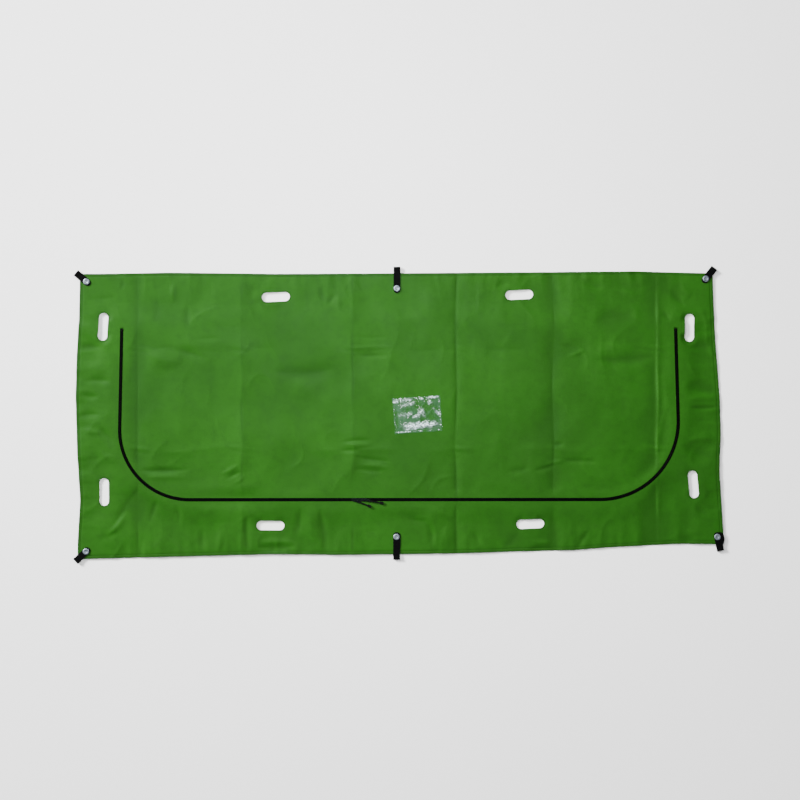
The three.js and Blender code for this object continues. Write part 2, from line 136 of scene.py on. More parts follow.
# Painted highlights along small raised creases in the clear film: shares across and down it, length, width,
# turn, strength.
POCKET_HIGHLIGHT_CREASES = [
    (0.55, 0.80, 0.160, 0.020, 1, 1.0), (0.30, 0.07, 0.050, 0.008, 0, 0.8),
    (0.06, 0.10, 0.026, 0.010, 8, 0.9), (0.60, 0.06, 0.022, 0.008, 0, 0.95),
    (0.83, 0.04, 0.046, 0.008, 4, 0.95), (0.17, 0.06, 0.006, 0.020, 0, 0.9),
    (0.32, 0.19, 0.070, 0.014, 4, 0.45), (0.77, 0.18, 0.020, 0.016, -60, 0.7),
    (0.24, 0.48, 0.070, 0.016, 2, 0.4), (0.55, 0.47, 0.056, 0.011, 50, 0.6),
    (0.62, 0.46, 0.050, 0.010, 105, 0.4), (0.93, 0.50, 0.030, 0.012, -30, 0.85),
    (0.88, 0.42, 0.040, 0.006, -40, 0.4), (0.38, 0.87, 0.080, 0.010, 2, 0.9),
    (0.44, 0.55, 0.024, 0.007, 25, 0.8),
]

SHEET = 0.5 * MM  # how thick the sheets are
MARGIN_Z = 4.6 * MM  # the plane that the two sheets meet in, round the bag
HALF_GAP = 0.6 * MM  # from that plane to either sheet's middle, where they only lie on each other
HALF_JOIN = 0.55 * SHEET  # the same where they are welded
PLATEAU_Z = 9.0 * MM  # the upper sheet over the pouch
FLOOR_Z = 0.3 * MM  # the lower sheet where it lies on the floor
LOWEST, HIGHEST = -3.1 * MM, 9 * MM  # what the ripples are held between
SHOW_THROUGH = 1.4 * MM  # how high the lower sheet follows the upper one's ripples inside the pouch
SEAM_INSET, SEAM_WIDTH, SEAM_DEPTH = 10.5 * MM, 1.6 * MM, 0.5 * MM
GROOVE_WIDTH, SHADE_WIDTH = 3.2 * MM, 5.5 * MM  # a fold's groove, and the line of painted shade over it
ZIP_GAP = 6 * MM  # from the zip's middle to the edge of either sheet
COIL_SHORT = 7 * MM  # how far before the fold line the coil stops

# Distances between which something fades in, away from the feature that is named last.
POUCH_FROM_MOUTH = (0.020, 0.100)
POUCH_FROM_SLOT = (0.002, 0.018)
POUCH_FROM_EDGE = (0.014, 0.075)
RIPPLES_FROM_ZIP = (0.007, 0.050)
RIPPLES_FROM_FOLD = (0.004, 0.070)
WELD_FROM_EDGE = (0.003, 0.016)
WELD_FROM_SLOT = (0.002, 0.010)
LOOP_FADE, SPOT_FADE = 0.085, 0.070
# How far the sheets' darker rim reaches in from the cut edges and from the slots.
DARKER_RIM_AT_EDGE, DARKER_RIM_AT_SLOT = 0.004, 0.003
HOLLOW_DEPTH = (0.2 * MM, 4.5 * MM)  # the depths between which a hollow gets painted shade

# How far apart the meshes' points are, and the rows of them that follow each edge.
OUTLINE_STEP, SLOT_STEP = 6 * MM, 3.5 * MM
FINE, COARSE = 5.8 * MM, 13 * MM
EDGE_ROWS = [d * MM for d in (2, 5, 8, 9.4, 10.6, 12, 15)]
SLOT_ROWS = [d * MM for d in (1.2, 3, 6, 9)]
ZIP_ROWS = [d * MM for d in (1.5, 4, 7)]
FLAP_ROWS = [d * MM for d in (1.3, 2.6, 4, 5.4, 6.8, 8.2)]

# The loops' webbing: its size, the tail past the rivet, and half its height where it is flat and at its eye.
WEBBING_WIDTH, WEBBING_THICK, WEBBING_TAIL = 25 * MM, 1.2 * MM, 17 * MM
WEBBING_SQUEEZE, WEBBING_EYE, WEBBING_FLARE = 1.4 * MM, 2.8 * MM, 14 * MM

CAP_RADIUS, CAP_THICK, CAP_DISH, SHANK_RADIUS = 11.4 * MM, 1.9 * MM, 0.95 * MM, 2.9 * MM
# The cap's section over its underside: in from the rim, and up.
CAP_RIM = [(0.5, 0.0), (0.0, 0.25), (0.0, 0.6), (0.4, 1.0), (1.6, 1.55)]
# The rest of the section: in from the rim, and down from the top.
CAP_CROWN = [(3.2, 0.1), (4.4, 0.0), (5.4, 0.15), (6.4, 0.6), (7.0, 0.95), (8.8, 1.1), (10.6, 1.0)]

POCKET_WIDTH, POCKET_HEIGHT, POCKET_BORDER, POCKET_TURN = 0.172, 0.128, 0.011, 4
FILM, FILM_LIFT, FILM_PUFF = 0.3 * MM, 0.6 * MM, 2.2 * MM
WELD_INSET, WELD_WIDTH, WELD_PITCH = 5.0 * MM, 2.2 * MM, 6 * MM

FLOOR_HALF = 40
# Each light's name, place, radius and power in watts.
LIGHTS = [
    ("key", (-11.2, 7.0, 5.0), 1.6, 41000),
    ("top", (-0.2, 0.7, 2.1), 0.6, 255),
    ("fill", (3.0, -2.5, 4.0), 1.4, 200),
]
WORLD_STRENGTH = 0.3
CAMERA_PLACE, CAMERA_ROLL, CAMERA_LENS = (0.0056, 0.0534, 4.793), -0.04, 60


# ---------------------------------------------------------------- small tools

def smooth(value, low, high):
    """0 below low, 1 above high, and an even curve between."""
    t = np.clip((value - low) / (high - low), 0, 1)
    return t * t * (3 - 2 * t)


def noise(x, y, seed):
    """Smooth noise from about -1 to 1, one wave in about two units."""
    angles = np.random.default_rng(seed).uniform(0, 2 * math.pi, (128, 128))
    i, j = np.floor(x).astype(int), np.floor(y).astype(int)
    u, v = x - i, y - j

    def corner(a, b):
        angle = angles[(i + a) % 128, (j + b) % 128]
        return np.cos(angle) * (u - a) + np.sin(angle) * (v - b)

    su, sv = (t * t * t * (t * (6 * t - 15) + 10) for t in (u, v))
    low = corner(0, 0) * (1 - su) + corner(1, 0) * su
    high = corner(0, 1) * (1 - su) + corner(1, 1) * su
    return 1.5 * (low * (1 - sv) + high * sv)


def resample(line, spacing, closed=True):
    """Points spaced evenly along a line."""
    line = np.asarray(line, float)
    if closed:
        line = np.vstack([line, line[:1]])
    along = np.concatenate([[0], np.cumsum(np.linalg.norm(np.diff(line, axis=0), axis=1))])
    count = max(3, round(along[-1] / spacing))
    at = np.linspace(0, along[-1], count + 1)[: count if closed else count + 1]
    return np.stack([np.interp(at, along, line[:, k]) for k in (0, 1)], axis=1)


def distance_to(points, line):
    """Each point's distance to the nearest of a line's points, and that point's number."""
    tree = KDTree(len(line))
    for i, (x, y) in enumerate(line):
        tree.insert((x, y, 0), i)
    tree.balance()
    found = [tree.find((x, y, 0)) for x, y in points]
    return np.array([f[2] for f in found]), np.array([f[1] for f in found])


def inside(points, loop):
    """Which points lie inside a closed loop."""
    x, y = points[:, 0], points[:, 1]
    result = np.zeros(len(points), bool)
    for (x0, y0), (x1, y1) in zip(loop, np.roll(loop, -1, axis=0)):
        if y0 != y1:
            result ^= ((y0 > y) != (y1 > y)) & (x < (x1 - x0) * (y - y0) / (y1 - y0) + x0)
    return result


def inset(loop, distance):
    """A counter-clockwise loop moved inwards, point by point."""
    along = np.roll(loop, -1, axis=0) - np.roll(loop, 1, axis=0)
    along /= np.linalg.norm(along, axis=1)[:, None]
    return loop + distance * np.stack([-along[:, 1], along[:, 0]], axis=1)


# ---------------------------------------------------------------- outlines

def bag_outline(spacing):
    """The bag's outline, counter-clockwise from the top left corner, with its bowed sides."""
    sides = []
    for k, bows in enumerate(BOWS.values()):
        start, end = CORNERS[k], CORNERS[(k + 1) % 4]
        length = np.linalg.norm(end - start)
        share = np.linspace(0, 1, round(length / spacing) + 1)[:-1]
        knots = [(0, 0), *bows, (1, 0)]
        bow = np.interp(share, [a for a, _ in knots], [b for _, b in knots])
        reach = max(3, round(0.03 / spacing))
        kernel = np.hanning(2 * reach + 1)
        padded = np.concatenate([np.zeros(reach), bow, np.zeros(reach)])
        bow = np.convolve(padded, kernel / kernel.sum(), "valid")
        bow = bow * smooth(np.minimum(share, 1 - share), 0, 0.02)
        along = (end - start) / length
        outward = np.array([along[1], -along[0]])
        sides.append(start + share[:, None] * (end - start) + bow[:, None] * MM * outward)
    return np.vstack(sides)


def slot_outline(slot, steps=14):
    """A hand slot's outline with round ends, counter-clockwise."""
    x, y, turn = slot
    radius = SLOT_WIDTH / 2
    half = SLOT_LENGTH / 2 - radius
    angles = np.linspace(-math.pi / 2, math.pi / 2, steps)
    right = np.stack([half + radius * np.cos(angles), radius * np.sin(angles)], axis=1)
    shape = np.vstack([right, -right])
    turn = math.radians(turn)
    spin = np.array([(math.cos(turn), math.sin(turn)), (-math.sin(turn), math.cos(turn))])
    return shape @ spin + (x, y)


def zip_line(offset, end_y=FOLD_Y, arc_steps=40):
    """The zip's line from its left end round the foot to its right end, moved outwards by offset."""
    a, b, c, d = np.array(ZIP_ENDS)
    runs = []
    for start, end in ((a, b), (b, c), (c, d)):
        along = (end - start) / np.linalg.norm(end - start)
        runs.append((start, along, np.array([along[1], -along[0]])))

    def end_of(run):
        start, along, out = run
        place = start + offset * out
        return place + along * (end_y - place[1]) / along[1]

    def corner(before, after, radius):
        turn = math.acos(before[1] @ after[1])
        centre = after[0] - before[1] * radius * math.tan(turn / 2) - before[2] * radius
        start = math.atan2(before[2][1], before[2][0])
        angles = start + np.linspace(0, turn, arc_steps)
        return centre + (radius + offset) * np.stack([np.cos(angles), np.sin(angles)], axis=1)

    first = corner(runs[0], runs[1], ZIP_RADII[0])
    second = corner(runs[1], runs[2], ZIP_RADII[1])
    return np.vstack([end_of(runs[0]), first, second, end_of(runs[2])])


OUTLINE = bag_outline(OUTLINE_STEP)
ZIP_MIDDLE = resample(zip_line(0), 0.004, closed=False)
MOUTH = resample(zip_line(0), 0.008)
RIVETS = {name: np.mean(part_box(f"{name}_rivet_cap"), axis=0)[:2] for name in LOOPS}


def loop_spot(name):
    """Where the sheets lie flat for a loop to turn on them: a middle and a radius."""
    turn, reach, _ = LOOPS[name]
    beyond = reach - CORNER_REACH
    lean = math.radians(turn)
    return RIVETS[name] + beyond * np.array([math.cos(lean), math.sin(lean)]), CORNER_FLAT + 0.7 * beyond


LOOP_SPOTS = [loop_spot(name) for name in LOOPS]
# The flap lies flat under the pocket and where the sliders' pulls rest on it.
FLAT_SPOTS = [
    (np.mean(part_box("card_pocket_film"), axis=0)[:2], 0.085),
    (np.mean(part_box("left_pull_tab"), axis=0)[:2], 0.050),
    (np.mean(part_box("right_pull_tab"), axis=0)[:2], 0.050),
]


# ---------------------------------------------------------------- the soft sheets' relief

def crease(away, reach):
    """A crease's height share: sharp at its line, with flanks that fade out."""
    return np.exp(-(np.sqrt(away * away + 0.0025 ** 2) - 0.0025) / reach)


def fold_wander(y, k):
    """How far a fold strays from its straight line."""
    return 0.006 * noise(y / 0.21, y * 0 + min(k, 5), 21)


def fold_strength(y, k):
    """How hard a fold was pressed, along its length."""
    return smooth(noise(y / 0.16, y * 0 + 2.3 * k, 25), -0.45, 0.35)


def crease_line(away, width):
    """The narrow groove or shade at a fold's line: 1 on it, and 0 some way off."""
    return np.exp(-((away / width) ** 2))


def fold_relief(x, y):
    """The storage folds: long creases that come and go, in millimetres."""
    height = np.zeros_like(x)
    for k, (fold, high, reach) in enumerate(FOLDS_ACROSS):
        away = x - fold - fold_wander(y, k)
        strength = 0.85 + 0.7 * noise(y / 0.13, y * 0 + 3.7 * k, 22)
        height += high * strength * crease(away, reach)
        height -= 0.7 * crease_line(away, GROOVE_WIDTH) * fold_strength(y, k)
    for k, (fold, high, reach) in enumerate(FOLDS_ALONG):
        away = y - fold - 0.012 * noise(x / 0.18, x * 0 + k, 23)
        strength = smooth(noise(x / 0.15, x * 0 + 5.3 * k, 24), -0.25, 0.5)
        height += high * strength * crease(away, reach)
    # Where two folds cross, the sheet was pinched into short dimples.
    for fold_x, _, _ in FOLDS_ACROSS:
        for fold_y, _, _ in FOLDS_ALONG:
            u, v = (x - fold_x) / 0.045, (y - fold_y) / 0.022
            height += 0.55 * np.exp(-(u * u) - v * v) * np.sin(5 * v + 2 * u)
    return height


def wrinkle_relief(x, y):
    """The single wrinkles and dents, each a little bent, in millimetres."""
    height = np.zeros_like(x)
    for k, (at_x, at_y, length, width, turn, high) in enumerate(WRINKLES):
        dx, dy = x / MM - at_x, y / MM - at_y
        near = np.hypot(dx, dy) < length
        turn = math.radians(turn)
        u = (dx[near] * math.cos(turn) + dy[near] * math.sin(turn)) / (length / 2)
        v = (dy[near] * math.cos(turn) - dx[near] * math.sin(turn)) / (width / 2)
        v = (v + (0.5 if k % 2 else -0.5) * u * u) * (1 + 0.8 * u * u)
        height[near] += 1.25 * high * np.exp(-(np.abs(v) ** 1.6)) * np.clip(1 - u * u, 0, 1) ** 1.5
    return height


def crumple_relief(x, y):
    """Soft dents and thin raised lines all over, in millimetres."""
    bend_x = x + 0.05 * noise(x / 0.3, y / 0.3, 31)
    bend_y = y + 0.05 * noise(x / 0.3, y / 0.3, 32)
    broad = 3.0 * noise(bend_x / 0.24, bend_y / 0.19, 33)
    middle = 1.2 * noise(bend_x / 0.075, bend_y / 0.13, 34)
    sharp = 1 - np.abs(noise(bend_x / 0.12, bend_y / 0.15, 35)) * 1.8
    lines = 1.2 * np.clip(sharp, 0, 1) ** 5 * smooth(noise(x / 0.2, y / 0.2, 36), -0.2, 0.5)
    small = 0.22 * noise(bend_x / 0.03, bend_y / 0.03, 37)
    return broad + middle + lines + small


def edge_relief(to_edge, nearest):
    """Puckers that run in from the bag's edges."""
    along = nearest * OUTLINE_STEP
    drift = along + 0.3 * to_edge * noise(along / 0.2, along * 0, 41)
    fade = np.exp(-to_edge / 0.075)
    puckers = 2.2 * noise(drift / 0.045, to_edge / 0.16, 42) + 1.0 * noise(drift / 0.020, to_edge / 0.10, 43)
    return puckers * fade


def relief(points):
    """What shapes the sheets at each point: the pouch's rise, the ripples, the welds and the creases, and the
    painted shade along the folds.
    """
    x, y = points[:, 0], points[:, 1]
    to_edge, nearest = distance_to(points, OUTLINE)
    to_zip, _ = distance_to(points, ZIP_MIDDLE)
    to_slot = np.full(len(points), 9.0)
    for slot in SLOTS:
        near = np.hypot(x - slot[0], y - slot[1]) < 0.15
        if near.any():
            to_this, _ = distance_to(points[near], slot_outline(slot, 40))
            to_slot[near] = np.minimum(to_slot[near], to_this)
    flat = np.ones(len(points))
    for (at_x, at_y), reach in LOOP_SPOTS:
        flat *= smooth(np.hypot(x - at_x, y - at_y), reach, reach + LOOP_FADE)
    # The sheets stand apart under the flap and the zip, and come together towards the hem and the slots.
    to_mouth, _ = distance_to(points, MOUTH)
    to_mouth[inside(points, MOUTH)] = 0
    rise = (1 - smooth(to_mouth, *POUCH_FROM_MOUTH)) * smooth(to_slot, *POUCH_FROM_SLOT)
    rise *= smooth(to_edge, *POUCH_FROM_EDGE) * flat
    for (at_x, at_y), reach in FLAT_SPOTS:
        flat *= 0.25 + 0.75 * smooth(np.hypot(x - at_x, y - at_y), reach, reach + SPOT_FADE)
    ripples = fold_relief(x, y) + wrinkle_relief(x, y) + crumple_relief(x, y)
    ripples = (ripples + edge_relief(to_edge, nearest)) * MM * flat
    by_zip = smooth(to_zip, *RIPPLES_FROM_ZIP)
    by_fold = 0.35 + 0.65 * smooth(np.abs(y - FOLD_Y), *RIPPLES_FROM_FOLD)
    joined = 1 - np.minimum(smooth(to_edge, *WELD_FROM_EDGE), smooth(to_slot, *WELD_FROM_SLOT))
    groove = np.exp(-(((to_edge - SEAM_INSET) / SEAM_WIDTH) ** 2)) * (1 - rise)
    # A line of painted shade along each fold, wider than its groove.
    lines = [
        crease_line(x - fold - fold_wander(y, k), SHADE_WIDTH) * fold_strength(y, k)
        for k, (fold, _, _) in enumerate(FOLDS_ACROSS)
    ]
    return {
        "rise": rise, "ripples": ripples, "by_zip": by_zip, "by_fold": by_fold,
        "painted_fold_shade": np.maximum.reduce(lines) * flat,
        "joined": joined, "groove": groove, "to_edge": to_edge, "to_slot": to_slot,
    }


def limited(ripples, low, high):
    """Ripples eased so that they stay between two heights."""
    return np.where(ripples > 0, high * np.tanh(ripples / high), low * np.tanh(ripples / low))


def top_height(points):
    """The upper sheet's middle, and the relief it comes from."""
    r = relief(points)
    margin = MARGIN_Z + HALF_GAP * (1 - r["joined"]) + HALF_JOIN * r["joined"]
    pillow = margin + (PLATEAU_Z - margin) * r["rise"]
    ripples = r["ripples"] * r["by_zip"] * (1 - r["rise"] * (1 - r["by_fold"]))
    ripples = limited(ripples, LOWEST - 2 * MM * r["rise"], HIGHEST)
    return pillow + ripples - SEAM_DEPTH * r["groove"], r


def bottom_height(points):
    """The lower sheet's middle: flat on the floor under the pouch, with the upper one round it."""
    r = relief(points)
    margin = MARGIN_Z - HALF_GAP * (1 - r["joined"]) - HALF_JOIN * r["joined"]
    ripples = limited(r["ripples"] * r["by_zip"], LOWEST, HIGHEST) * (1 - r["rise"])
    height = margin + (FLOOR_Z - margin) * r["rise"] + ripples
    raised = SHOW_THROUGH * np.tanh(np.maximum(r["ripples"], 0) / SHOW_THROUGH)
    height += raised * r["rise"] * r["by_zip"]
    return np.maximum(height, FLOOR_Z), r


# ---------------------------------------------------------------- meshes

def mesh_object(name, vertices, faces, material):
    """A smooth-shaded mesh in the scene, with its material."""
    mesh = bpy.data.meshes.new(name)
    mesh.from_pydata([tuple(map(float, v)) for v in vertices], [], [tuple(map(int, f)) for f in faces])
    mesh.validate()
    mesh.materials.append(material)
    for polygon in mesh.polygons:
        polygon.use_smooth = True
    # An open sheet's border stays sharp, so its cut edge doesn't shade the face beside it.
    border = bmesh.new()
    border.from_mesh(mesh)
    for edge in border.edges:
        edge.smooth = len(edge.link_faces) != 1
    border.to_mesh(mesh)
    border.free()
    made = bpy.data.objects.new(name, mesh)
    bpy.context.collection.objects.link(made)
    return made


def outside_all(points, holes):
    """Those points that lie in none of the holes."""
    for hole in holes:
        points = points[~inside(points, hole)]
    return points


def staggered_grid(low, high, spacing):
    """Rows of points between two corners, every other row moved half a step."""
    rows = []
    for k, y in enumerate(np.arange(low[1], high[1], spacing * 0.87)):
        x = np.arange(low[0] + (k % 2) * spacing / 2, high[0], spacing)
        rows.append(np.column_stack([x, np.full(len(x), y)]))
    return np.vstack(rows)


def fold_rows(low, high, spacing):
    """Rows of points along each fold, so that its groove keeps its shape."""
    y = np.arange(low[1], high[1], 1.3 * spacing)
    rows = []
    for k, (fold, _, _) in enumerate(FOLDS_ACROSS):
        rows += [np.column_stack([fold + fold_wander(y, k) + step * 3 * MM, y]) for step in (-2, -1, 0, 1, 2)]
    return np.vstack(rows)


def filled(outer, holes, rings, spacing):
    """Points and triangles that fill an outline, with rings of points along every edge."""
    loops = [outer, *holes]
    points, edges, clear = [], [], []
    for loop in loops:
        start = sum(len(p) for p in points)
        count = len(loop)
        points.append(loop)
        edges += [(start + i, start + (i + 1) % count) for i in range(count)]
        clear.append(loop)
    for loop, distances in zip(loops, rings):
        for distance in distances:
            points.append(inset(loop, distance))
        clear.append(inset(loop, distances[-1]))
    low, high = outer.min(axis=0), outer.max(axis=0)
    grid = staggered_grid(low, high, spacing)
    grid = outside_all(grid[inside(grid, outer)], holes)
    away, _ = distance_to(grid, np.vstack(clear))
    grid = grid[away > 0.7 * spacing]
    rows = fold_rows(low, high, spacing)
    rows = outside_all(rows[inside(rows, outer)], holes)
    rows = rows[distance_to(rows, np.vstack([*clear, *points]))[0] > 0.6 * spacing]
    grid = np.vstack([grid[distance_to(grid, rows)[0] > 0.45 * spacing], rows])
    # What lies between an edge and its last ring is filled by the rings alone.
    for loop, distances in zip(loops, rings):
        to_loop, _ = distance_to(grid, loop)
        grid = grid[to_loop > abs(distances[-1])]
    every = np.vstack([*points, grid])
    result = delaunay_2d_cdt([Vector(p) for p in every], edges, [], 0, 1e-7)
    places = np.array([tuple(v) for v in result[0]])
    triangles = np.array(result[2])
    middles = places[triangles].mean(axis=1)
    keep = inside(middles, outer)
    for hole in holes:
        keep &= ~inside(middles, hole)
    return places, triangles[keep]


def sheet_object(name, outer, holes, rings, spacing, height, material):
    """A sheet of that outline, lifted to its height at every point, with its thickness."""
    places, triangles = filled(outer, holes, rings, spacing)
    z, r = height(places)
    made = mesh_object(name, np.column_stack([places, z]), triangles, material)
    # The sheets turn darker along their cut edges and slot rims, and over the welds; painted shade darkens
    # the seam groove, the fold lines and the hollows.
    darker_rim = np.maximum(np.exp(-r["to_edge"] / DARKER_RIM_AT_EDGE), np.exp(-r["to_slot"] / DARKER_RIM_AT_SLOT))
    painted_hollow_shade = 0.9 * smooth(-r["ripples"] * r["by_zip"], *HOLLOW_DEPTH)
    darker_weld_and_painted_shade = np.maximum.reduce([r["groove"], 0.8 * r["joined"], 0.8 * r["painted_fold_shade"], painted_hollow_shade])
    for label, values in (("darker_rim", darker_rim), ("darker_weld_and_painted_shade", darker_weld_and_painted_shade)):
        attribute = made.data.attributes.new(label, "FLOAT", "POINT")
        attribute.data.foreach_set("value", values.astype(np.float32))
    solid = made.modifiers.new("thickness", "SOLIDIFY")
    solid.thickness = SHEET
    solid.offset = 0
    return made


# ---------------------------------------------------------------- materials

def new_material(name, color, roughness, metallic=0.0, specular=0.5):
    """A material, two helpers that add and join its nodes, and the object's own coordinates."""
    material = bpy.data.materials.new(name)
    material.use_nodes = True
    tree = material.node_tree
    shader = tree.nodes["Principled BSDF"]
    shader.inputs["Base Color"].default_value = (*color, 1)
    shader.inputs["Roughness"].default_value = roughness
    shader.inputs["Metallic"].default_value = metallic
    shader.inputs["Specular IOR Level"].default_value = specular
    place = tree.nodes.new("ShaderNodeTexCoord").outputs["Object"]

    def add(kind, inputs=None, **settings):
        node = tree.nodes.new(kind)
        for key, value in settings.items():
            setattr(node, key, value)
        for key, value in (inputs or {}).items():
            socket = node.inputs[key]
            if isinstance(value, bpy.types.NodeSocket):
                tree.links.new(value, socket)
            else:
                socket.default_value = value
        return node

    def join(output, socket):
        tree.links.new(output, shader.inputs[socket])

    return material, add, join, place


def ramp(add, value, low, high, positions=(0.0, 1.0)):
    """A value turned into a range."""
    return add(
        "ShaderNodeMapRange",
        {"Value": value, "From Min": positions[0], "From Max": positions[1], "To Min": low, "To Max": high},
    ).outputs["Result"]


def mixed(add, factor, a, b):
    """A colour between two, each of them plain or from a node."""
    node = add("ShaderNodeMix", data_type="RGBA")
    for socket, value in ((node.inputs[0], factor), (node.inputs[6], a), (node.inputs[7], b)):
        if isinstance(value, bpy.types.NodeSocket):
            node.id_data.links.new(value, socket)
        elif isinstance(value, (int, float)):
            socket.default_value = value
        else:
            socket.default_value = (*value, 1)
    return node.outputs[2]


def noise_texture(add, place, scale, detail=3.0, roughness=0.55):
    """Noise from 0 to 1 in the object's own space."""
    return add(
        "ShaderNodeTexNoise",
        {"Vector": place, "Scale": scale, "Detail": detail, "Roughness": roughness},
    ).outputs[0]


def pvc_material():
    """Soft green PVC over a base cloth: faint weave, cloudy sheen, darker over the welds and along the cut
    edges, with painted shade in the seam groove, along the folds and in the hollows.
    """
    base = (0.0092, 0.0670, 0.0020)
    dark = (0.0046, 0.0370, 0.0011)
    darker_rim_color = (0.0050, 0.0330, 0.0014)
    material, add, join, place = new_material("green_pvc", base, 0.5, specular=0.10)
    cloud = noise_texture(add, place, 2.6, 4.0)
    mottle = noise_texture(add, place, 38.0, 5.0, 0.62)
    color = mixed(add, ramp(add, cloud, 0.0, 0.55, (0.35, 0.7)), base, dark)
    color = mixed(add, ramp(add, mottle, 0.0, 0.35, (0.45, 0.75)), color, dark)
    # Darker rims, darker welds, and painted shade in the seam groove, along the folds and in the hollows.
    darker_rim = add("ShaderNodeAttribute", attribute_name="darker_rim").outputs["Fac"]
    darker_weld_and_painted_shade = add("ShaderNodeAttribute", attribute_name="darker_weld_and_painted_shade").outputs["Fac"]
    color = mixed(add, ramp(add, darker_weld_and_painted_shade, 0.0, 0.62), color, dark)
    color = mixed(add, ramp(add, darker_rim, 0.0, 0.6), color, darker_rim_color)
    join(color, "Base Color")
    join(ramp(add, noise_texture(add, place, 9.0, 4.0), 0.52, 0.68, (0.3, 0.7)), "Roughness")
    across = add("ShaderNodeTexWave", {"Vector": place, "Scale": 280.0}, bands_direction="X").outputs["Fac"]
    along = add("ShaderNodeTexWave", {"Vector": place, "Scale": 280.0}, bands_direction="Y").outputs["Fac"]
    weave = add("ShaderNodeMath", {0: across, 1: along}, operation="MULTIPLY").outputs[0]
    grain = noise_texture(add, place, 420.0, 3.0)
    height = add("ShaderNodeMath", {0: weave, 1: grain}, operation="ADD").outputs[0]
    fine = add("ShaderNodeBump", {"Height": height, "Strength": 0.35, "Distance": 0.00012})
    soft = add(
        "ShaderNodeBump",
        {"Height": noise_texture(add, place, 55.0, 4.0), "Strength": 0.5, "Distance": 0.0006,
         "Normal": fine.outputs["Normal"]},
    )
    join(soft.outputs["Normal"], "Normal")
    return material


def cloth_material(name, color, scale):
    """Black woven tape or webbing: a twill of fine ribs with a dull sheen."""
    material, add, join, place = new_material(name, color, 0.75, specular=0.03)
    lighter = tuple(3.2 * c for c in color)
    ribs = add(
        "ShaderNodeTexWave", {"Vector": place, "Scale": scale, "Distortion": 1.2, "Detail": 2.0},
        bands_direction="DIAGONAL",
    ).outputs["Fac"]
    fuzz = noise_texture(add, place, scale * 2.2, 4.0)
    join(mixed(add, ramp(add, ribs, 0.0, 0.7, (0.5, 1.0)), color, lighter), "Base Color")
    join(ramp(add, fuzz, 0.62, 0.88), "Roughness")
    height = add("ShaderNodeMath", {0: ribs, 1: fuzz}, operation="ADD").outputs[0]
    bump = add("ShaderNodeBump", {"Height": height, "Strength": 0.6, "Distance": 0.0003})
    join(bump.outputs["Normal"], "Normal")
    return material


def metal_material(name, color, roughness, scratch_scale, metallic=1.0):
    """Pressed or cast metal with fine scratches and dulled patches."""
    material, add, join, place = new_material(name, color, roughness, metallic)
    patches = noise_texture(add, place, 160.0, 5.0, 0.6)
    scratches = noise_texture(add, place, scratch_scale, 2.0)
    dull = tuple(0.62 * c for c in color)
    join(mixed(add, ramp(add, patches, 0.0, 0.6, (0.45, 0.8)), color, dull), "Base Color")
    join(ramp(add, patches, 0.7 * roughness, 1.5 * roughness, (0.3, 0.7)), "Roughness")
    bump = add("ShaderNodeBump", {"Height": scratches, "Strength": 0.25, "Distance": 0.0002})
    join(bump.outputs["Normal"], "Normal")
    return material


def moulded_material(name, color, roughness):
    """Moulded plastic or rubber with a fine grain."""
    material, add, join, place = new_material(name, color, roughness, specular=0.05)
    grain = noise_texture(add, place, 900.0, 3.0)
    join(ramp(add, noise_texture(add, place, 120.0), 0.8 * roughness, 1.25 * roughness), "Roughness")
    join(mixed(add, ramp(add, grain, 0.0, 0.5), color, tuple(2.2 * c for c in color)), "Base Color")
    bump = add("ShaderNodeBump", {"Height": grain, "Strength": 0.3, "Distance": 0.0002})
    join(bump.outputs["Normal"], "Normal")
    return material


def film_material():
    """Clear soft film: see-through, glossy, whitish where it is welded, with painted highlights along its
    creases.
    """
    tint, white = (0.07, 0.16, 0.10), (0.80, 0.98, 1.0)
    material, add, join, place = new_material("clear_film", tint, 0.12)
    # Frosted welds and painted highlights along the creases turn the film white and less clear.
    weld_frost_and_painted_highlight = add("ShaderNodeAttribute", attribute_name="weld_frost_and_painted_highlight").outputs["Fac"]
    haze = noise_texture(add, place, 45.0, 4.0)
    join(mixed(add, weld_frost_and_painted_highlight, tint, white), "Base Color")
    clear = ramp(add, haze, 0.03, 0.24, (0.4, 0.68))
    alpha = add("ShaderNodeMath", {0: clear, 1: ramp(add, weld_frost_and_painted_highlight, 0.0, 1.0)}, operation="MAXIMUM").outputs[0]
    join(alpha, "Alpha")
    join(ramp(add, weld_frost_and_painted_highlight, 0.10, 0.35), "Roughness")
    return material


# ---------------------------------------------------------------- pieces

def build_sheets(material):
    """The surround with its hand slots, the flap inside the zip, and the lower sheet."""
    slots = [resample(slot_outline(slot), SLOT_STEP)[::-1] for slot in SLOTS]
    slot_rows = [SLOT_ROWS] * len(slots)
    outer = resample(OUTLINE, OUTLINE_STEP)
    top = FOLD_Y + BEND_HALF
    mouth = resample(zip_line(ZIP_GAP, top), OUTLINE_STEP, closed=False)
    inner = resample(zip_line(-ZIP_GAP, top), OUTLINE_STEP, closed=False)
    # Both sheets have the same points along the line that they meet in.
    seam = resample([inner[-1], inner[0]], OUTLINE_STEP, closed=False)
    mouth = np.vstack([mouth, seam])
    inner = np.vstack([inner, seam[1:-1]])
    surround = sheet_object(
        "top_surround_sheet", outer, [*slots, mouth[::-1]], [EDGE_ROWS, *slot_rows, ZIP_ROWS], FINE,
        top_height, material,
    )
    flap = sheet_object("flap_panel", inner, [], [FLAP_ROWS], FINE, top_height, material)
    bottom = sheet_object(
        "bottom_panel", outer, slots, [EDGE_ROWS, *slot_rows], COARSE, bottom_height, material,
    )
    return surround, flap, bottom


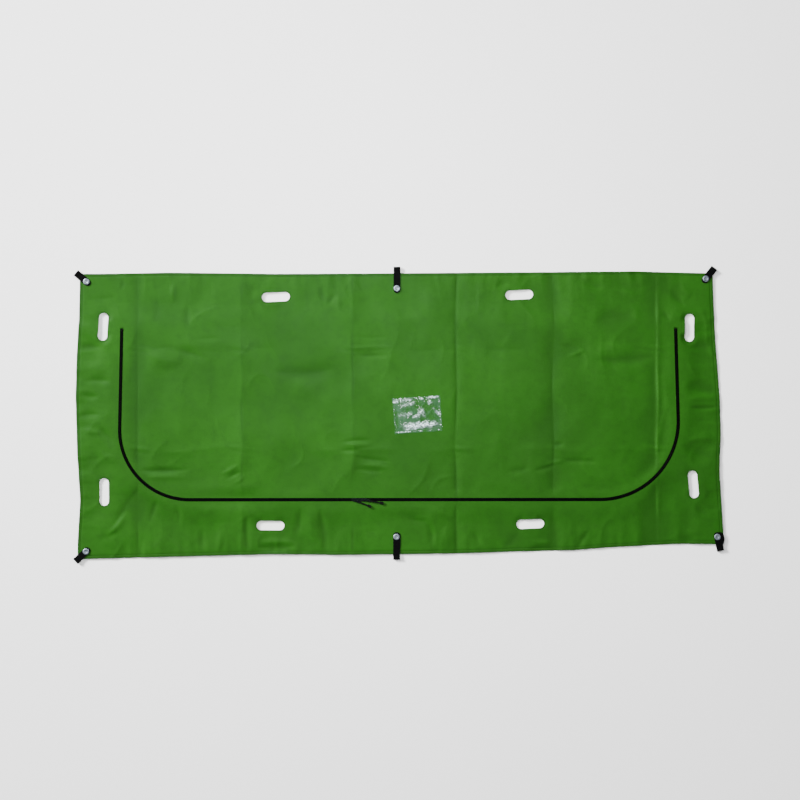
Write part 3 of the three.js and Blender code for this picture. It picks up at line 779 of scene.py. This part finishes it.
def zip_row(name, side, material):
    """One row of the zip's coil: a rounded tooth at every pitch, which reaches in between two others."""
    pitch, half_width, tip, root, rounding = 1.9 * MM, 0.52 * MM, -0.55 * MM, 3.8 * MM, 0.5 * MM
    low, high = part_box("outer_zip_coil")[0][2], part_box("outer_zip_coil")[1][2]
    line = resample(zip_line(0, FOLD_Y - COIL_SHORT), pitch / 2, closed=False)
    along = np.gradient(line, axis=0)
    along /= np.linalg.norm(along, axis=1)[:, None]
    out = np.stack([along[:, 1], -along[:, 0]], axis=1) * side
    # The tooth's outline seen along the zip, as (distance out, height share).
    outline = [
        (root, 0.0), (tip + rounding, 0.0), (tip, 0.3), (tip, 0.7), (tip + rounding, 1.0), (root, 1.0),
    ]
    vertices, faces = [], []
    for k in range(0 if side > 0 else 1, len(line), 2):
        for end in (-1, 1):
            for reach, share in outline:
                narrowed = 0.6 if share in (0.0, 1.0) else 1.0
                spot = line[k] + out[k] * reach + along[k] * end * half_width * narrowed
                vertices.append((*spot, low + share * (high - low)))
        n = len(outline)
        base = len(vertices) - 2 * n
        faces += [(base + i, base + (i + 1) % n, base + n + (i + 1) % n, base + n + i) for i in range(n)]
        faces += [tuple(base + i for i in reversed(range(n))), tuple(base + n + i for i in range(n))]
    made = mesh_object(name, vertices, faces, material)
    for polygon in made.data.polygons:
        polygon.use_smooth = False
    return made


def strap(name, turn, reach, splay, centre, material):
    """A webbing loop folded over the bag's edge and held by its rivet, wider where it is splayed."""
    width, thick, tail, flare = WEBBING_WIDTH, WEBBING_THICK, WEBBING_TAIL, WEBBING_FLARE
    squeeze, eye = WEBBING_SQUEEZE + thick / 2, WEBBING_EYE + thick / 2
    step = 2 * MM
    fold = reach - WEBBING_EYE - thick
    angles = np.linspace(math.pi / 2, -math.pi / 2, 14)
    upper = [(-tail, squeeze), *[(x, squeeze) for x in np.arange(-tail + step, fold - flare, step)]]
    shares = np.linspace(0, 1, 8)[:-1]
    upper += [(fold - flare + t * flare, squeeze + (eye - squeeze) * float(smooth(t, 0, 1))) for t in shares]
    side = [*upper, *[(fold + eye * math.cos(a), eye * math.sin(a)) for a in angles]]
    side += [(x, -z) for x, z in reversed(upper)]
    across = np.linspace(-1, 1, 15)
    spin = math.radians(turn)
    vertices, faces = [], []
    for x, z in side:
        # The tail's corners are cut round, and the band's edges wander a fraction of a millimetre.
        cut = math.sqrt(max(0.02, 1 - (max(0, -x) / tail) ** 3))
        spread = splay * (1 - float(smooth(x, 0.2 * fold, 0.8 * fold))) * cut
        for share in across:
            y = share * (width / 2 - 0.4 * MM + 0.25 * MM * math.sin(x / (2.1 * MM) + 2 * share)) * cut
            y += spread * max(0, share) ** 2
            px, py = x * math.cos(spin) - y * math.sin(spin), x * math.sin(spin) + y * math.cos(spin)
            vertices.append((centre[0] + px, centre[1] + py, MARGIN_Z + z))
    n = len(across)
    for row in range(len(side) - 1):
        for k in range(n - 1):
            a = row * n + k
            faces.append((a, a + n, a + n + 1, a + 1))
    made = mesh_object(f"{name}_webbing", vertices, faces, material)
    solid = made.modifiers.new("thickness", "SOLIDIFY")
    solid.thickness = thick - 0.15 * MM
    solid.offset = 0
    bevel = made.modifiers.new("soft_edges", "BEVEL")
    bevel.width = 0.3 * MM
    bevel.segments = 2
    bevel.limit_method = "ANGLE"
    return made


def rivet(name, centre, material):
    """A pressed cap with a rolled rim and a dished middle, on its shank."""
    (_, _, low), (_, _, top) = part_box(f"{name}_rivet_cap")
    base = top - CAP_THICK
    profile = [(SHANK_RADIUS, low), (SHANK_RADIUS, base)]
    profile += [(CAP_RADIUS - inwards * MM, base + up * MM) for inwards, up in CAP_RIM]
    profile += [(CAP_RADIUS - inwards * MM, top - down * MM) for inwards, down in CAP_CROWN]
    count = 56
    vertices = [(centre[0], centre[1], low)]
    for r, z in profile:
        for angle in np.arange(count) * 2 * math.pi / count:
            vertices.append((centre[0] + r * math.cos(angle), centre[1] + r * math.sin(angle), z))
    vertices.append((centre[0], centre[1], top - CAP_DISH))
    faces = []
    for row in range(len(profile) - 1):
        for k in range(count):
            a, b = 1 + row * count + k, 1 + row * count + (k + 1) % count
            faces.append((a, b, b + count, a + count))
    last = 1 + (len(profile) - 1) * count
    for k in range(count):
        faces.append((0, 1 + (k + 1) % count, 1 + k))
        faces.append((last + k, last + (k + 1) % count, len(vertices) - 1))
    return mesh_object(f"{name}_cap", vertices, faces, material)


def pocket_welds(x, y, side, from_top):
    """How strongly the film is welded: a row of dots along the middle of its border."""
    in_border = np.exp(-(((np.minimum(side, from_top) - WELD_INSET) / WELD_WIDTH) ** 2))
    beat = np.where(np.minimum(y + POCKET_HEIGHT / 2, from_top) < POCKET_BORDER, x, y)
    return in_border * smooth(np.cos(2 * math.pi * beat / WELD_PITCH), -0.4, 0.6)


def card_pocket(material):
    """The clear film: a welded, dotted border round a puffed middle with small creases, and painted
    highlights along some of them.
    """
    centre, turn = np.mean(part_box("card_pocket_film"), axis=0), math.radians(POCKET_TURN)
    nx, ny = 173, 129
    us, vs = np.meshgrid(np.linspace(0, 1, nx), np.linspace(0, 1, ny))
    x, y = (us.ravel() - 0.5) * POCKET_WIDTH, (vs.ravel() - 0.5) * POCKET_HEIGHT
    px = centre[0] + x * math.cos(turn) - y * math.sin(turn)
    py = centre[1] + x * math.sin(turn) + y * math.cos(turn)
    side = np.minimum(POCKET_WIDTH / 2 - np.abs(x), y + POCKET_HEIGHT / 2)
    from_top = POCKET_HEIGHT / 2 - y
    puff = smooth(side, POCKET_BORDER, POCKET_BORDER + 0.014) * (0.6 + 0.4 * smooth(from_top, 0.0, 0.03))
    creases = 1 - np.abs(noise(x / 0.022 + 0.5 * noise(x / 0.03, y / 0.03, 52), y / 0.030, 51)) * 1.5
    creases = np.clip(creases, 0, 1) ** 4
    weld = pocket_welds(x, y, side, from_top)
    sheet, _ = top_height(np.column_stack([px, py]))
    z = np.maximum(sheet, PLATEAU_Z) + FILM_LIFT + FILM_PUFF * puff + 0.3 * MM * weld
    z += (1.3 * puff * creases + 0.8 * puff * noise(x / 0.03, y / 0.02, 53)) * MM
    # The welded dots are frosted white; each stroke below paints a highlight along a small raised crease.
    weld_frost_and_painted_highlight = 0.9 * weld * smooth(noise(x / 0.009, y / 0.009, 57), -0.05, 0.55)
    for at_x, at_y, length, wide, lean, strength in POCKET_HIGHLIGHT_CREASES:
        dx, dy = x - (at_x - 0.5) * POCKET_WIDTH, y - (0.5 - at_y) * POCKET_HEIGHT
        lean = math.radians(lean)
        u = (dx * math.cos(lean) + dy * math.sin(lean)) / (length / 2)
        v = (dy * math.cos(lean) - dx * math.sin(lean) + 0.0018 * np.sin(dx / 0.0045)) / (wide / 2)
        broken = 0.25 + 0.75 * smooth(noise(dx / 0.007, dy / 0.004 + at_x, 56), -0.40, 0.30)
        weld_frost_and_painted_highlight = np.maximum(weld_frost_and_painted_highlight, strength * broken * np.exp(-v * v) * (1 - smooth(np.abs(u), 0.4, 1)))
        z += 0.6 * MM * strength * puff * np.exp(-v * v) * (1 - smooth(np.abs(u), 0.6, 1))
    faces = [
        (r * nx + c, r * nx + c + 1, (r + 1) * nx + c + 1, (r + 1) * nx + c)
        for r in range(ny - 1) for c in range(nx - 1)
    ]
    made = mesh_object("card_pocket_front", np.column_stack([px, py, z]), faces, material)
    attribute = made.data.attributes.new("weld_frost_and_painted_highlight", "FLOAT", "POINT")
    attribute.data.foreach_set("value", np.clip(weld_frost_and_painted_highlight, 0, 1).astype(np.float32))
    solid = made.modifiers.new("thickness", "SOLIDIFY")
    solid.thickness = FILM
    solid.offset = 1
    return made


def dress(nodes, material, bevel=0.0):
    """Gives CAD nodes their finish, with their edges eased where they are metal or moulded."""
    for name in nodes:
        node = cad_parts[name]
        node.data.materials.clear()
        node.data.materials.append(material)
        if bevel:
            eased = node.modifiers.new("eased_edges", "BEVEL")
            eased.width = bevel
            eased.segments = 2
            eased.limit_method = "ANGLE"
            eased.angle_limit = math.radians(35)


# ---------------------------------------------------------------- stage

def build_floor():
    """A plain pale floor that runs out of sight."""
    pale, paler = (0.92, 0.92, 0.92), (0.95, 0.95, 0.95)
    material, add, join, place = new_material("floor", pale, 0.9)
    join(mixed(add, noise_texture(add, place, 1.5), pale, paler), "Base Color")
    corners = [(x * FLOOR_HALF, y * FLOOR_HALF, 0) for x, y in ((-1, -1), (1, -1), (1, 1), (-1, 1))]
    mesh_object("floor", corners, [(0, 1, 2, 3)], material)


def build_lights():
    """A soft key light far off to the left, one over the bag, a weak fill, and a dim white world."""
    for name, place, radius, watts in LIGHTS:
        light = bpy.data.lights.new(name, "POINT")
        light.shadow_soft_size = radius
        light.energy = watts
        lamp = bpy.data.objects.new(name, light)
        lamp.location = place
        bpy.context.collection.objects.link(lamp)
    world = bpy.data.worlds.new("studio")
    world.use_nodes = True
    background = world.node_tree.nodes["Background"]
    background.inputs["Color"].default_value = (1, 1, 1, 1)
    background.inputs["Strength"].default_value = WORLD_STRENGTH
    bpy.context.scene.world = world


def build_camera():
    """The camera straight above the bag."""
    lens = bpy.data.cameras.new("camera")
    lens.lens = CAMERA_LENS
    lens.clip_end = 100
    camera = bpy.data.objects.new("camera", lens)
    camera.location = CAMERA_PLACE
    camera.rotation_euler = (0, 0, math.radians(CAMERA_ROLL))
    bpy.context.collection.objects.link(camera)
    bpy.context.scene.camera = camera


# ---------------------------------------------------------------- assembly

build_floor()
build_lights()
build_camera()
green = pvc_material()
webbing = cloth_material("webbing", (0.0009, 0.0009, 0.0010), 900.0)
tape = cloth_material("zip_tape", (0.0008, 0.0010, 0.0008), 1500.0)
coil = moulded_material("zip_coil", (0.0009, 0.0011, 0.0009), 0.5)
lacquer = metal_material("slider_metal", (0.007, 0.010, 0.010), 0.30, 900.0, 0.9)
grip = moulded_material("pull_grip", (0.0010, 0.0015, 0.0010), 0.6)
zinc = metal_material("rivet", (0.17, 0.20, 0.235), 0.5, 1400.0)
clear_film = film_material()

surround, flap, bottom = build_sheets(green)
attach(surround, "bag")
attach(bottom, "bag")
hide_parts("top_surround")
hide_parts("bottom_sheet")
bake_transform(flap)
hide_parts("flap_sheet", "flap_fold_strip")

outer_row = zip_row("outer_zip_teeth", 1, coil)
inner_row = zip_row("inner_zip_teeth", -1, coil)
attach(outer_row, "bag")
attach(inner_row, "flap")
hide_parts("outer_zip_coil")
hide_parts("inner_zip_coil")

pocket = card_pocket(clear_film)
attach(pocket, "flap")
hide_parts("card_pocket_film")

for name, (turn, reach, splay) in LOOPS.items():
    band = strap(name, turn, reach, splay, RIVETS[name], webbing)
    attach(band, f"{name}_swivel")
    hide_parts(f"{name}_loop")
    cap = rivet(name, RIVETS[name], zinc)
    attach(cap, "bag")
    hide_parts(f"{name}_rivet_cap")

dress(["outer_zip_tape", "inner_zip_tape"], tape)
dress(["left_end_stop", "right_end_stop"], coil, 0.4 * MM)
dress([f"{name}_rivet_back" for name in LOOPS], zinc, 0.25 * MM)
for hand in ("left", "right"):
    dress([f"{hand}_slider_body", f"{hand}_slider_bridge", f"{hand}_pull_tab"], lacquer, 0.25 * MM)
    dress([f"{hand}_pull_grip"], grip, 0.8 * MM)
